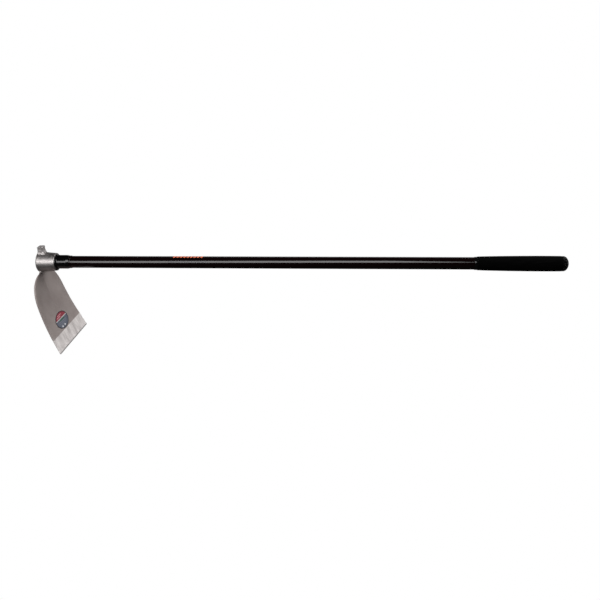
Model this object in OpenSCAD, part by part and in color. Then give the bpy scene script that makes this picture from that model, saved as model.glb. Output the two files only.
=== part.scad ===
// Long-handled eye hoe. A broad curved steel blade hangs from a tapered steel eye with a
// square poll on top. A fibreglass tube is wedged in the eye and ends in a rubber grip.
// Frame: the origin is the centre of the eye's front face, +X runs along the handle to the
// grip, +Z points to the poll, and Y runs across the blade. Millimetres.

/* [Handle] */
// Length from the front of the eye to the end of the grip
overall_length = 1372; // [1200:1:1500]
// Outside diameter of the fibreglass tube
tube_d = 31.4; // [30:0.1:32]
// Wall thickness of the fibreglass tube
tube_wall = 3; // [2:0.5:5]
// Length of the wooden core in the head end of the tube
core_length = 320; // [100:5:600]
// Gap left for glue or press fit between round parts
bond_gap = 0.05; // [0.02:0.01:0.1]

/* [Eye] */
// Diameter of the eye at its front
eye_front_d = 55; // [52:0.5:60]
// Diameter of the eye at its rear
eye_rear_d = 46.8; // [45:0.1:50]
// Length of the eye along the handle
eye_length = 49; // [44:1:60]
// Radius of the eye's rounded front edge
eye_nose_r = 5; // [3:0.5:6]
// Diameter of the tapered bore at the front
bore_front_d = 41; // [38:0.5:42]
// Diameter of the tapered bore at the rear
bore_rear_d = 36.4; // [35:0.1:37]
// Thickness of the closed front wall of the plug
plug_wall = 5; // [3:0.5:8]

/* [Pin] */
// Diameter of the cross pin
pin_d = 6; // [4:0.5:8]
// Diameter of the pin's flat heads
pin_head_d = 9; // [8:0.5:12]
// How far a head stands proud of the eye
pin_head_t = 0.9; // [0.5:0.1:1.5]
// Distance of the pin behind the front of the eye
pin_x = 39.5; // [34:0.5:42]
// Angle of the pin above the horizontal, on the -Y side
pin_angle = 55; // [20:1:70]

/* [Poll] */
// Front of the poll along the handle
poll_x = 4.2; // [4:0.1:10]
// Length of the poll along the handle
poll_length = 14.4; // [10:0.1:16]
// Width of the poll across the handle
poll_w = 19; // [14:0.5:22]
// Height of the poll's flat top above the handle's axis
poll_z = 43.3; // [38:0.1:50]
// Radius of the concave flare at the poll's foot
poll_flare_r = 9; // [6:0.5:12]
// How far the foot spreads beyond the poll on each side
poll_flare = 1.4; // [1:0.1:4]
// Height of the bead of weld around the foot
poll_bead = 1.2; // [1:0.1:3]

/* [Blade] */
// Width of the cutting edge
edge_w = 192; // [150:1:220]
// Depth of the cutting edge below the handle's axis
edge_depth = 228.5; // [200:0.5:250]
// How much each side spreads per millimetre of depth
side_flare = 0.109; // [0.05:0.005:0.15]
// Radius of the blade's curve, seen from the side
sweep_r = 614; // [500:1:900]
// Height above the axis at which the curve would be vertical
sweep_z = 42; // [20:1:60]
// Thickness of the blade
blade_t = 3.5; // [2.5:0.1:5]
// Thickness left at the cutting edge
edge_t = 0.8; // [0.5:0.1:1.5]
// Height of the ground bevel
bevel_h = 38.6; // [20:0.2:60]
// Height of the rounded shoulders
shoulder_h = 77; // [60:1:90]
// Fullness of the shoulders: 2 is an ellipse, more is squarer
shoulder_power = 2.6; // [2:0.1:3]
// Width of the neck under the eye
neck_w = 26; // [16:1:30]
// Depth at which the pressed crease down the middle dies out
crease_end = 92; // [70:1:120]
// Width of the crease's groove
crease_w = 7; // [4:0.5:12]
// Depth of the groove, and height of the ridge behind it
crease_d = 1.4; // [0.5:0.1:2]
// Radius of the weld bead between eye and blade
blade_bead_r = 3.2; // [2:0.1:4]

/* [Label] */
// Width of the oval label
label_w = 72; // [40:1:80]
// Height of the oval label
label_h = 46; // [35:1:60]
// Depth of the label's centre below the handle's axis
label_depth = 167; // [140:1:180]
// Offset of the label's centre across the blade
label_y = -6.5; // [-20:0.5:20]
// Thickness of the label
label_t = 0.3; // [0.2:0.1:0.6]

/* [Sleeve] */
// Outside diameter of the sleeve
sleeve_d = 36.3; // [35:0.1:38]
// Diameter of the flared lip that seats on the eye
sleeve_lip_d = 40.6; // [39:0.1:42]
// Where the straight part of the sleeve ends
sleeve_x = 79; // [70:1:90]
// Length of the sleeve's tapered tail
sleeve_tail = 7; // [4:0.5:12]
// Outside diameter of the tail's end and of the ring behind it
ring_d = 33.6; // [33:0.1:35]
// Width of the ring behind the sleeve
ring_w = 3.6; // [2:0.1:5]

/* [Grip] */
// Length of the grip and its front ring
grip_length = 231; // [180:1:260]
// Width of the front ring
grip_ring_w = 6.8; // [4:0.1:10]
// Outside diameter of the front ring
grip_ring_d = 33.3; // [33:0.1:34]
// Diameter of the grip at its front
grip_front_d = 34.6; // [34:0.1:36]
// Largest diameter of the grip
grip_belly_d = 38.9; // [37:0.1:42]
// Distance of the largest diameter from the closed end
grip_belly_back = 66; // [45:1:100]
// Depth of the grip's round end
grip_round_d = 13; // [10:0.5:20]
// Rubber left over the end of the tube
grip_end_t = 12; // [10:0.5:20]

/* [Print] */
// Start of the printed bar along the handle
bar_x = 366; // [200:1:500]
// Length of the printed bar
bar_length = 81; // [40:1:120]
// Thickness of the printed layers
print_t = 0.15; // [0.1:0.05:0.3]

/* [Hidden] */

round_fn = 96;
sweep_steps = 24;
arc_steps = 8;
shoulder_steps = 20;
crease_steps = 10;
crease_least = 0.3;
grip_steps = 18;

flare_angle = 32;
flare_depth = 16;

tube_r = tube_d / 2;
core_r = tube_r - tube_wall - bond_gap;
tube_end_x = overall_length - grip_end_t - 3;
end_flange_t = 3;
end_stem = 28;
grip_x = overall_length - grip_length;

edge_z = -edge_depth;
bevel_z = edge_z + bevel_h;
shoulder_z = -eye_front_d / 2 - shoulder_h;
neck_top_z = -15;
face_slope = asin((sweep_z + label_depth) / sweep_r);

// Points on an arc about (cx, cy), from angle a0 to a1
function arc(cx, cy, r, a0, a1, n = arc_steps) =
    [for (i = [0:n]) let (a = a0 + (a1 - a0) * i / n) [cx + r * cos(a), cy + r * sin(a)]];

// X of the blade's handle-side face at height z, or of a surface lifted off it
function face_x(z, lift = 0) = sweep_r - sqrt(pow(sweep_r - lift, 2) - pow(z - sweep_z, 2));

// [x, z] points along that face or lifted surface, from height z0 to z1
function face_line(lift, z0, z1) =
    [for (i = [0:sweep_steps]) let (z = z0 + (z1 - z0) * i / sweep_steps) [face_x(z, lift), z]];

// Radius of the grip at a distance s behind its ring: a smooth swell to the belly
belly_s = grip_length - grip_ring_w - grip_belly_back;
function grip_r(s) =
    s < belly_s
        ? grip_front_d / 2 + (grip_belly_d - grip_front_d) / 2 * pow(sin(90 * s / belly_s), 0.8)
        : grip_belly_d / 2 - 0.5 * pow((s - belly_s) / grip_belly_back, 2);

// Solid or ring turned about the handle's axis, from [radius, x] points
module turned(profile) {
    rotate([0, 90, 0])
        rotate_extrude($fn = round_fn)
            polygon(profile);
}

// Part of a ring about the handle's axis, between two angles above the -Y horizontal
module turned_between(profile, low, high) {
    rotate([0, 90, 0])
        rotate([0, 0, -90 - high])
            rotate_extrude(angle = high - low, $fn = round_fn)
                polygon(profile);
}

// Closed outline of the eye without its bore, grown by a gap
module eye_outline(gap = 0) {
    front = eye_front_d / 2;
    nose = arc(front - eye_nose_r, eye_nose_r, eye_nose_r + gap, -90, 0);
    turned(concat(
        [[0, -gap]],
        nose,
        [[eye_rear_d / 2 + gap, eye_length + gap], [0, eye_length + gap]]
    ));
}

// Cylinder along the cross pin's axis, centred on the handle's axis
module across(r, length) {
    translate([pin_x, 0, 0])
        rotate([90 - pin_angle, 0, 0])
            cylinder(r = r, h = length, center = true, $fn = round_fn);
}

module pin_hole() {
    across(pin_d / 2 + bond_gap, 80);
}

module eye_collar() {
    color("silver")
        difference() {
            eye_outline();
            translate([-0.01, 0, 0])
                rotate([0, 90, 0])
                    cylinder(d1 = bore_front_d, d2 = bore_rear_d, h = eye_length + 0.02, $fn = round_fn);
            pin_hole();
        }
}

// Moulded plug that wedges the tube in the tapered bore and closes its front
module eye_plug() {
    color("dimgray")
        difference() {
            rotate([0, 90, 0])
                cylinder(
                    d1 = bore_front_d - 2 * bond_gap,
                    d2 = bore_rear_d - 2 * bond_gap,
                    h = eye_length,
                    $fn = round_fn
                );
            translate([plug_wall, 0, 0])
                rotate([0, 90, 0])
                    cylinder(r = tube_r + bond_gap, h = eye_length, $fn = round_fn);
            pin_hole();
        }
}

// Pin through eye, plug, tube and core, with a low flat head at each end
module head_pin() {
    eye_r = eye_front_d / 2 + (eye_rear_d - eye_front_d) / 2 * pin_x / eye_length;
    color("gray")
        union() {
            across(pin_d / 2, 2 * eye_r);
            difference() {
                across(pin_head_d / 2, 2 * (eye_r + pin_head_t));
                eye_outline(bond_gap);
            }
        }
}

module handle_tube() {
    color("black")
        difference() {
            translate([plug_wall + bond_gap, 0, 0])
                rotate([0, 90, 0])
                    cylinder(r = tube_r, h = tube_end_x - plug_wall - bond_gap, $fn = round_fn);
            rotate([0, 90, 0])
                cylinder(r = tube_r - tube_wall, h = overall_length, $fn = round_fn);
            pin_hole();
        }
}

module core_dowel() {
    color("burlywood")
        difference() {
            translate([plug_wall + bond_gap, 0, 0])
                rotate([0, 90, 0])
                    cylinder(r = core_r, h = core_length, $fn = round_fn);
            pin_hole();
        }
}

// Stopper in the grip end of the tube
module tube_end_plug() {
    color("dimgray")
        turned([
            [0, tube_end_x - end_stem],
            [core_r - 1, tube_end_x - end_stem],
            [core_r, tube_end_x - end_stem + 3],
            [core_r, tube_end_x + bond_gap],
            [tube_r, tube_end_x + bond_gap],
            [tube_r, tube_end_x + end_flange_t],
            [0, tube_end_x + end_flange_t]
        ]);
}

// Outline from low to high, with a concave flare on both sides below waist_z
function flared(low, high, waist_z, top_z) = concat(
    [[low - poll_flare, waist_z - flare_depth]],
    arc(low - poll_flare_r, waist_z, poll_flare_r, -flare_angle, 0),
    [[low, top_z], [high, top_z]],
    arc(high + poll_flare_r, waist_z, poll_flare_r, 180, 180 + flare_angle),
    [[high + poll_flare, waist_z - flare_depth]]
);

// Square block with a waisted, flared foot that reaches down into the eye
module poll_block() {
    waist_z = eye_front_d / 2 + 5;
    intersection() {
        across_blade(60)
            polygon(flared(poll_x, poll_x + poll_length, waist_z, poll_z));
        rotate([90, 0, 90])
            linear_extrude(height = 60, center = true)
                polygon(flared(-poll_w / 2, poll_w / 2, waist_z - 2, poll_z));
    }
}

module poll() {
    color("darkgray")
        difference() {
            poll_block();
            eye_outline(bond_gap);
        }
}

// Bead of weld on the eye, all round the foot of the poll
module poll_weld() {
    margin = poll_flare + 1.6;
    color("lightgray")
        difference() {
            intersection() {
                eye_outline(poll_bead);
                translate([poll_x - margin, -poll_w / 2 - margin, 10])
                    cube([poll_length + 2 * margin, poll_w + 2 * margin, 30]);
            }
            eye_outline(bond_gap);
            poll_block();
        }
}

// Side section of a curved layer between two surfaces, each given by its lift off the face
module layer(back, front, low, high) {
    polygon(concat(face_line(front, low, high), face_line(back, high, low)));
}

// Side section made solid across the blade
module across_blade(width) {
    rotate([90, 0, 0])
        linear_extrude(height = width, center = true)
            children();
}

// Front view made solid along the handle, from the front of the eye back
module through_blade() {
    rotate([90, 0, 90])
        linear_extrude(height = 120)
            children();
}

// Front view of the blade: straight flared sides and superelliptic shoulders
module blade_outline() {
    shoulder = [
        for (i = [0:shoulder_steps])
            let (
                t = 90 * i / shoulder_steps,
                z = shoulder_z + shoulder_h * pow(sin(t), 2 / shoulder_power),
                side = edge_w / 2 - side_flare * (z - edge_z)
            )
            [side * pow(cos(t), 2 / shoulder_power), z]
    ];
    right = concat([[edge_w / 2, edge_z]], shoulder);
    left = [for (i = [len(right) - 2:-1:0]) [-right[i][0], right[i][1]]];
    polygon(concat(right, left));
    translate([-neck_w / 2, shoulder_z])
        square([neck_w, neck_top_z - shoulder_z]);
}

// Side section of the blade, thinned by the ground bevel above the cutting edge
module blade_section() {
    polygon(concat(
        face_line(0, bevel_z, neck_top_z),
        face_line(-blade_t, neck_top_z, edge_z),
        [[face_x(edge_z, -blade_t) + edge_t, edge_z]]
    ));
}

// Side section of the pressed crease's groove, which fades from the neck downwards
module groove_section() {
    top_z = neck_top_z;
    fade = [
        for (i = [0:crease_steps])
            let (
                z = -crease_end + (top_z + crease_end) * i / crease_steps,
                depth = crease_least + (crease_d - crease_least) * i / crease_steps
            )
            [face_x(z) - depth, z]
    ];
    polygon(concat(fade, [[face_x(top_z) + 5, top_z], [face_x(-crease_end) + 5, -crease_end]]));
}

// Side section of the ridge behind the crease, which swells and fades again
module ridge_section() {
    top_z = -eye_front_d / 2 - 5;
    swell = [
        for (i = [0:crease_steps])
            let (
                z = -crease_end + (top_z + crease_end) * i / crease_steps,
                height = crease_least + (crease_d - crease_least) * sin(180 * i / crease_steps)
            )
            [face_x(z, -blade_t) - height, z]
    ];
    inside = [
        for (i = [crease_steps:-1:0])
            let (z = -crease_end + (top_z + crease_end) * i / crease_steps)
            [face_x(z, -blade_t) + crease_least, z]
    ];
    polygon(concat(swell, inside));
}

module blade() {
    color("rosybrown")
        difference() {
            union() {
                intersection() {
                    across_blade(edge_w + 20)
                        blade_section();
                    through_blade()
                        blade_outline();
                }
                across_blade(crease_w + 3)
                    ridge_section();
            }
            across_blade(crease_w)
                groove_section();
            eye_outline(bond_gap);
        }
}

// Bead of weld under the eye, between the eye and the handle-side face of the neck
module blade_weld() {
    reach = asin(neck_w / 2 / (eye_front_d / 2));
    color("lightgray")
        difference() {
            turned_between(
                arc(eye_front_d / 2 - 0.6, face_x(-eye_front_d / 2) + 1, blade_bead_r, 0, 345, 23),
                -90 - reach,
                -90 + reach
            );
            eye_outline(bond_gap);
            across_blade(60)
                layer(-40, bond_gap, -60, -10);
        }
}

// Oval printed label on the handle-side face
module blade_label() {
    color("steelblue")
        intersection() {
            across_blade(edge_w)
                layer(bond_gap, bond_gap + label_t, -label_depth - label_h, -label_depth + label_h);
            through_blade()
                translate([label_y, -label_depth])
                    polygon([
                        for (a = [0:7.5:359])
                            [label_w / 2 * cos(a), label_h / 2 * cos(face_slope) * sin(a)]
                    ]);
        }
}

// Boot behind the eye, with a lip that seats on it and a tapered tail
module sleeve() {
    start = eye_length + bond_gap;
    bore = tube_r + bond_gap;
    color("black")
        turned([
            [bore, start],
            [sleeve_lip_d / 2, start],
            [sleeve_lip_d / 2, start + 2],
            [sleeve_d / 2, start + 6],
            [sleeve_d / 2, sleeve_x],
            [ring_d / 2, sleeve_x + sleeve_tail],
            [bore, sleeve_x + sleeve_tail]
        ]);
}

// Ring with rounded edges, turned on the tube
module tube_ring(x, width, diameter) {
    edge = 0.5;
    color("darkslategray")
        turned([
            [tube_r + bond_gap, x],
            [diameter / 2 - edge, x],
            [diameter / 2, x + edge],
            [diameter / 2, x + width - edge],
            [diameter / 2 - edge, x + width],
            [tube_r + bond_gap, x + width]
        ]);
}

module sleeve_ring() {
    tube_ring(sleeve_x + sleeve_tail + 2 * bond_gap, ring_w, ring_d);
}

module grip_ring() {
    tube_ring(grip_x, grip_ring_w, grip_ring_d);
}

// Rubber grip with a swell and a full round end, closed over the end of the tube
module grip() {
    start = grip_x + grip_ring_w + 2 * bond_gap;
    full = grip_length - grip_ring_w;
    round_s = full - grip_round_d;
    inside_x = tube_end_x + end_flange_t + bond_gap;
    body = [
        for (i = [0:grip_steps])
            let (s = round_s * i / grip_steps)
            [grip_r(s), start + s - 2 * bond_gap * i / grip_steps]
    ];
    end = [
        for (a = [9:9:90])
            [grip_r(round_s) * cos(a), overall_length - grip_round_d * (1 - sin(a))]
    ];
    color([0.08, 0.08, 0.08])
        turned(concat(
            [[tube_r + bond_gap, start]],
            body,
            end,
            [[0, inside_x], [tube_r + bond_gap, inside_x]]
        ));
}

// Plain printed bar near the top of the tube
module print_bar() {
    inner = tube_r + bond_gap / 2;
    color("orangered")
        turned_between([
            [inner, bar_x],
            [inner + print_t, bar_x],
            [inner + print_t, bar_x + bar_length],
            [inner, bar_x + bar_length]
        ], 71, 99);
}

// Thin pale line printed under the bar
module print_line() {
    inner = tube_r + bond_gap / 2;
    color("gainsboro")
        turned_between([
            [inner, bar_x - 11],
            [inner + print_t, bar_x - 11],
            [inner + print_t, bar_x + bar_length + 13],
            [inner, bar_x + bar_length + 13]
        ], 18, 32);
}

blade();
blade_weld();
eye_collar();
poll();
poll_weld();
eye_plug();
head_pin();
handle_tube();
core_dowel();
sleeve();
sleeve_ring();
grip();
grip_ring();
tube_end_plug();
blade_label();
print_bar();
print_line();
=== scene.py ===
"""Studio scene of a long-handled eye hoe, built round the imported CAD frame. All sizes in metres."""

import math

import bmesh
import bpy
from mathutils import Matrix, Quaternion, Vector, noise

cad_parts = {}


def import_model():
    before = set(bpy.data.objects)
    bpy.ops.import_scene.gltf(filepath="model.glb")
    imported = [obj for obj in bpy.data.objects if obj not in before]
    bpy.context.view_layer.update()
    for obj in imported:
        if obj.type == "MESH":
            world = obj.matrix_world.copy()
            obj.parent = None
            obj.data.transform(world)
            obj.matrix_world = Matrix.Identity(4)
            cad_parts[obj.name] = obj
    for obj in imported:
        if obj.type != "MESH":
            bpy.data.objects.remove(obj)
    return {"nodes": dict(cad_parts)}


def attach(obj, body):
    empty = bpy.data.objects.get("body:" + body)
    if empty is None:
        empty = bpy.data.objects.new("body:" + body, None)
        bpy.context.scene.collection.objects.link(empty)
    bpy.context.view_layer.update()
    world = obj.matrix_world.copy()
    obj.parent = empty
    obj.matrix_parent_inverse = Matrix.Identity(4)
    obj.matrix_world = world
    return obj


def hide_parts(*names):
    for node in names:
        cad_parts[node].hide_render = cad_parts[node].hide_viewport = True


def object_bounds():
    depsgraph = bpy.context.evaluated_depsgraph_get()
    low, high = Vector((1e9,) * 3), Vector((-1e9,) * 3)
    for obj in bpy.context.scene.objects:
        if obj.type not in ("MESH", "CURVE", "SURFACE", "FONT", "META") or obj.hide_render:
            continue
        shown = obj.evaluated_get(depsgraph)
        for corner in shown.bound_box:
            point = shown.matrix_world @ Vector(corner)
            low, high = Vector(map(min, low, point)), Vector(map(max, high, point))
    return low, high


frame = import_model()
CAD_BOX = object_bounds()
SCENE = bpy.context.scene

# Sizes and places. They follow the CAD source, but the crease is softer here, and only this model
# has the dish round it, the honed strip, the pips and the pulled-in middle of the poll.
TUBE_R = 0.0157
TUBE_WALL = 0.003
TUBE_START = 0.00505
TUBE_END = 1.357
BOND_GAP = 0.00005

EYE_FRONT_R = 0.0275
EYE_REAR_R = 0.0234
EYE_LENGTH = 0.049
EYE_NOSE_R = 0.005
BORE_FRONT_R = 0.0205
BORE_REAR_R = 0.0182

PIN_R = 0.003
PIN_HEAD_R = 0.0045
PIN_HEAD_T = 0.0009
PIN_X = 0.0395
PIN_ANGLE = math.radians(55)

POLL_X = 0.0042
POLL_LENGTH = 0.0144
POLL_W = 0.019
POLL_Z = 0.0433
POLL_FOOT_Z = 0.0215
POLL_CORNER_R = 0.0011
POLL_TOP_R = 0.0010
POLL_WAIST_Z = EYE_FRONT_R + 0.005
POLL_PULL = 0.0004
POLL_PULL_Z = 0.0368
POLL_PULL_H = 0.0032
POLL_FLARE_R = 0.009
POLL_FLARE = 0.0014
POLL_FLARE_ANGLE = math.radians(32)

EDGE_W = 0.192
EDGE_Z = -0.2285
BEVEL_Z = -0.1899
HONE_Z = EDGE_Z + 0.0034
HONE_LIFT = 0.0003
SIDE_FLARE = 0.109
SWEEP_R = 0.614
SWEEP_Z = 0.042
BLADE_T = 0.0035
EDGE_T = 0.0008
SHOULDER_H = 0.077
SHOULDER_Z = -EYE_FRONT_R - SHOULDER_H
SHOULDER_POWER = 2.6
NECK_W = 0.026
NECK_TOP_Z = -0.019
CREASE_END_Z = -0.098
CREASE_DEPTH = 0.0010
CREASE_HALF_W = 0.008
CREASE_AT_NECK = 0.32
CREASE_NECK_Z = -0.022
CREASE_FULL_Z = -0.062
RIDGE_START_Z = -0.030
RIDGE_FULL_Z = -0.052
DISH_END_Z = -0.160
DISH_DEPTH = 0.0026
DISH_HALF_W = 0.036
BEAD_R = 0.0032

LABEL_W = 0.072
LABEL_H = 0.046
LABEL_Y = -0.0065
LABEL_Z = -0.167
LABEL_T = 0.0003

SLEEVE_R = 0.01815
SLEEVE_LIP_R = 0.0203
SLEEVE_X = 0.079
SLEEVE_TAIL = 0.007
RING_R = 0.0168
RING_X = 0.0861
RING_W = 0.0036

LENGTH = 1.372
GRIP_X = 1.141
GRIP_RING_W = 0.0068
GRIP_RING_R = 0.01665
GRIP_FRONT_R = 0.0173
GRIP_BELLY_R = 0.01945
GRIP_BELLY_BACK = 0.066
GRIP_INSIDE_X = 1.36005
GRIP_ROUND = 0.013
GRIP_LENGTH = LENGTH - GRIP_X - GRIP_RING_W
CAP_X = LENGTH - 0.0180
PIP_R = 0.0007
PIP_H = 0.00035

BAR_X = 0.366
BAR_LENGTH = 0.081
LINE_X = 0.355
LINE_LENGTH = 0.105
PRINT_T = 0.00015


# ---- Mesh helpers ----

def smooth_step(low, high, value):
    t = min(1.0, max(0.0, (value - low) / (high - low)))
    return t * t * (3 - 2 * t)


def make_object(name, verts, faces, sharp_degrees, indices=None):
    """A closed smooth-shaded mesh object, with its normals outward and edges sharp above an angle."""
    mesh = bpy.data.meshes.new(name)
    mesh.from_pydata([tuple(v) for v in verts], [], faces)
    if indices:
        mesh.polygons.foreach_set("material_index", indices)
    bm = bmesh.new()
    bm.from_mesh(mesh)
    bmesh.ops.recalc_face_normals(bm, faces=bm.faces)
    bm.to_mesh(mesh)
    bm.free()
    mesh.shade_smooth()
    mesh.set_sharp_from_angle(angle=math.radians(sharp_degrees))
    piece = bpy.data.objects.new(name, mesh)
    SCENE.collection.objects.link(piece)
    return piece


def finish_piece(piece, slot, materials, *nodes):
    """Gives a piece its materials, hides the CAD nodes that it stands for and hangs it under the root body.
    The slot argument is not used.
    """
    for material in materials:
        piece.data.materials.append(material)
    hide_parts(*nodes)
    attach(piece, "root")


def rounded(corners, closed=True, steps=6):
    """Points of a polyline of (a, b, fillet radius) corners, with each corner rounded."""
    out = []
    count = len(corners)
    for i, (a, b, fillet) in enumerate(corners):
        corner = Vector((a, b))
        if fillet == 0 or (not closed and i in (0, count - 1)):
            out.append((a, b))
            continue
        before = Vector(corners[i - 1][:2])
        after = Vector(corners[(i + 1) % count][:2])
        to_before = (before - corner).normalized()
        to_after = (after - corner).normalized()
        half = to_before.angle(to_after) / 2
        reach = min(fillet / math.tan(half), 0.49 * (before - corner).length, 0.49 * (after - corner).length)
        radius = reach * math.tan(half)
        centre = corner + (to_before + to_after).normalized() * (radius / math.sin(half))
        start = corner + to_before * reach - centre
        end = corner + to_after * reach - centre
        a0 = math.atan2(start.y, start.x)
        turn = math.atan2(end.y, end.x) - a0
        turn = (turn + math.pi) % (2 * math.pi) - math.pi
        for k in range(steps + 1):
            angle = a0 + turn * k / steps
            out.append((centre.x + radius * math.cos(angle), centre.y + radius * math.sin(angle)))
    return out


def divided(points, longest):
    """The same closed polyline, with no step longer than this."""
    out = []
    for (a0, b0), (a1, b1) in zip(points, points[1:] + points[:1]):
        count = max(1, math.ceil(math.hypot(a1 - a0, b1 - b0) / longest))
        for k in range(count):
            out.append((a0 + (a1 - a0) * k / count, b0 + (b1 - b0) * k / count))
    return out


def add_ring(verts, points):
    """Adds the points to the vertices, and returns their numbers."""
    first = len(verts)
    verts += points
    return list(range(first, len(verts)))


def ring_faces(ring, after):
    """Faces between two closed rings of vertices. One vertex repeated all round gives triangles."""
    faces = []
    for k in range(len(ring)):
        n = (k + 1) % len(ring)
        face = [ring[k], ring[n], after[n], after[k]]
        faces.append([v for i, v in enumerate(face) if v not in face[:i]])
    return faces


def lathe(profile, segments, relief=None):
    """Vertices and faces of a closed (x, radius) profile turned about the handle's axis.
    relief(x, angle, radius) gives a change of radius. A radius of 0 becomes one point."""
    verts = []
    rings = []
    for x, r in profile:
        if r < 1e-7:
            rings.append(add_ring(verts, [(x, 0, 0)]) * segments)
            continue
        ring = []
        for k in range(segments):
            angle = 2 * math.pi * k / segments
            radius = r + (relief(x, angle, r) if relief else 0)
            ring.append((x, radius * math.cos(angle), radius * math.sin(angle)))
        rings.append(add_ring(verts, ring))
    faces = []
    for ring, after in zip(rings, rings[1:] + rings[:1]):
        if ring[0] != ring[-1] or after[0] != after[-1]:
            faces += ring_faces(ring, after)
    return verts, faces


# ---- Materials ----

class Nodes:
    """A short way to build the shader of a material, or of a world."""

    def __init__(self, name, world=False):
        self.made = (bpy.data.worlds if world else bpy.data.materials).new(name)
        self.made.use_nodes = True
        self.tree = self.made.node_tree
        self.tree.nodes.clear()
        self.output = self.add("OutputWorld" if world else "OutputMaterial")

    def add(self, kind, **settings):
        node = self.tree.nodes.new("ShaderNode" + kind)
        for key, value in settings.items():
            setattr(node, key, value)
        return node

    def link(self, source, target):
        self.tree.links.new(source, target)

    def put(self, target, value):
        """Sets a constant on a socket, or links another node's output to it."""
        if hasattr(value, "is_output"):
            self.link(value, target)
        else:
            target.default_value = value

    def place(self, scale):
        """Object coordinates, stretched by a scale on each axis."""
        coordinates = self.add("TexCoord")
        mapping = self.add("Mapping")
        self.link(coordinates.outputs["Object"], mapping.inputs["Vector"])
        mapping.inputs["Scale"].default_value = scale
        return mapping.outputs["Vector"]

    def noise(self, scale, size, detail, rough):
        texture = self.add("TexNoise")
        self.link(self.place(scale), texture.inputs["Vector"])
        texture.inputs["Scale"].default_value = size
        texture.inputs["Detail"].default_value = detail
        texture.inputs["Roughness"].default_value = rough
        return texture.outputs["Fac"]

    def spread(self, value, low, high, to_low=0.0, to_high=1.0, smooth=False):
        node = self.add("MapRange")
        if smooth:
            node.interpolation_type = "SMOOTHSTEP"
        self.put(node.inputs["Value"], value)
        node.inputs["From Min"].default_value = low
        node.inputs["From Max"].default_value = high
        node.inputs["To Min"].default_value = to_low
        node.inputs["To Max"].default_value = to_high
        return node.outputs["Result"]

    def math(self, operation, a, b):
        node = self.add("Math", operation=operation)
        for socket, value in zip(node.inputs, (a, b)):
            self.put(socket, value)
        return node.outputs["Value"]

    def mix(self, factor, a, b):
        node = self.add("Mix", data_type="RGBA")
        self.put(node.inputs[0], factor)
        self.put(node.inputs[6], a if hasattr(a, "is_output") else (*a, 1))
        self.put(node.inputs[7], b if hasattr(b, "is_output") else (*b, 1))
        return node.outputs[2]

    def bump(self, height, distance, strength, under=None):
        node = self.add("Bump")
        node.inputs["Strength"].default_value = strength
        node.inputs["Distance"].default_value = distance
        self.link(height, node.inputs["Height"])
        if under is not None:
            self.link(under, node.inputs["Normal"])
        return node.outputs["Normal"]

    def blend(self, factor, a, b):
        """Shader a where the factor is 0, and shader b where it is 1."""
        node = self.add("MixShader")
        for socket, source in zip(node.inputs, (factor, a, b)):
            self.link(source, socket)
        return node.outputs["Shader"]

    def surface(self, color, roughness, normal, **settings):
        """The Principled shader, with constants set on its own sockets."""
        shader = self.add("BsdfPrincipled")
        self.link(color, shader.inputs["Base Color"])
        self.put(shader.inputs["Roughness"], roughness)
        for key, value in settings.items():
            shader.inputs[key.replace("_", " ")].default_value = value
        self.link(normal, shader.inputs["Normal"])
        self.link(shader.outputs["BSDF"], self.output.inputs["Surface"])
        return self.made


def blade_steel():
    """Matte warm grey-brown lacquered steel, with faint lengthwise streaks and mottling."""
    n = Nodes("blade_steel")
    streaks = n.noise((1, 1, 0.06), 420, 4, 0.6)
    mottle = n.noise((1, 1, 1), 26, 4, 0.55)
    grain = n.noise((1, 1, 1), 1500, 2, 0.5)
    tone = n.mix(n.spread(mottle, 0.35, 0.65), (0.262, 0.220, 0.209), (0.305, 0.263, 0.250))
    tone = n.mix(n.spread(streaks, 0.45, 0.75, 0, 0.35), tone, (0.33, 0.30, 0.28))
    roughness = n.spread(mottle, 0.3, 0.7, 0.5, 0.6)
    normal = n.bump(grain, 0.00006, 0.5)
    normal = n.bump(streaks, 0.00008, 0.4, normal)
    return n.surface(tone, roughness, normal, Metallic=0.35)


def ground_steel():
    """Pale ground bevel, with fine grinding lines across the cutting edge."""
    n = Nodes("ground_steel")
    lines = n.noise((1, 1, 0.03), 900, 4, 0.65)
    bands = n.noise((1, 1, 0.1), 55, 3, 0.6)
    tone = n.mix(n.spread(bands, 0.35, 0.68), (0.455, 0.418, 0.408), (0.735, 0.690, 0.676))
    tone = n.mix(n.spread(lines, 0.4, 0.7, 0, 0.5), tone, (0.80, 0.76, 0.742))
    roughness = n.spread(bands, 0.3, 0.7, 0.5, 0.6)
    normal = n.bump(lines, 0.00003, 0.5)
    return n.surface(tone, roughness, normal, Metallic=0.3)


def honed_steel():
    """Darker honed strip along the cutting edge."""
    n = Nodes("honed_steel")
    lines = n.noise((1, 1, 0.03), 700, 3, 0.6)
    tone = n.mix(n.spread(lines, 0.4, 0.7), (0.36, 0.34, 0.335), (0.50, 0.475, 0.465))
    return n.surface(tone, 0.4, n.bump(lines, 0.00003, 0.4), Metallic=0.5)


def eye_steel():
    """Satin forged steel with a light cast texture and fine scratches round the eye."""
    n = Nodes("eye_steel")
    round_marks = n.noise((1, 0.12, 0.12), 900, 4, 0.6)
    mottle = n.noise((1, 1, 1), 120, 5, 0.6)
    pits = n.noise((1, 1, 1), 620, 3, 0.6)
    tone = n.mix(n.spread(mottle, 0.35, 0.68), (0.36, 0.336, 0.330), (0.49, 0.466, 0.458))
    tone = n.mix(n.spread(pits, 0.62, 0.78, 0, 0.5), tone, (0.24, 0.225, 0.22))
    roughness = n.spread(mottle, 0.3, 0.7, 0.41, 0.49)
    normal = n.bump(pits, 0.0001, 0.4)
    normal = n.bump(round_marks, 0.00005, 0.35, normal)
    return n.surface(tone, roughness, normal, Metallic=0.96)


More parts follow.
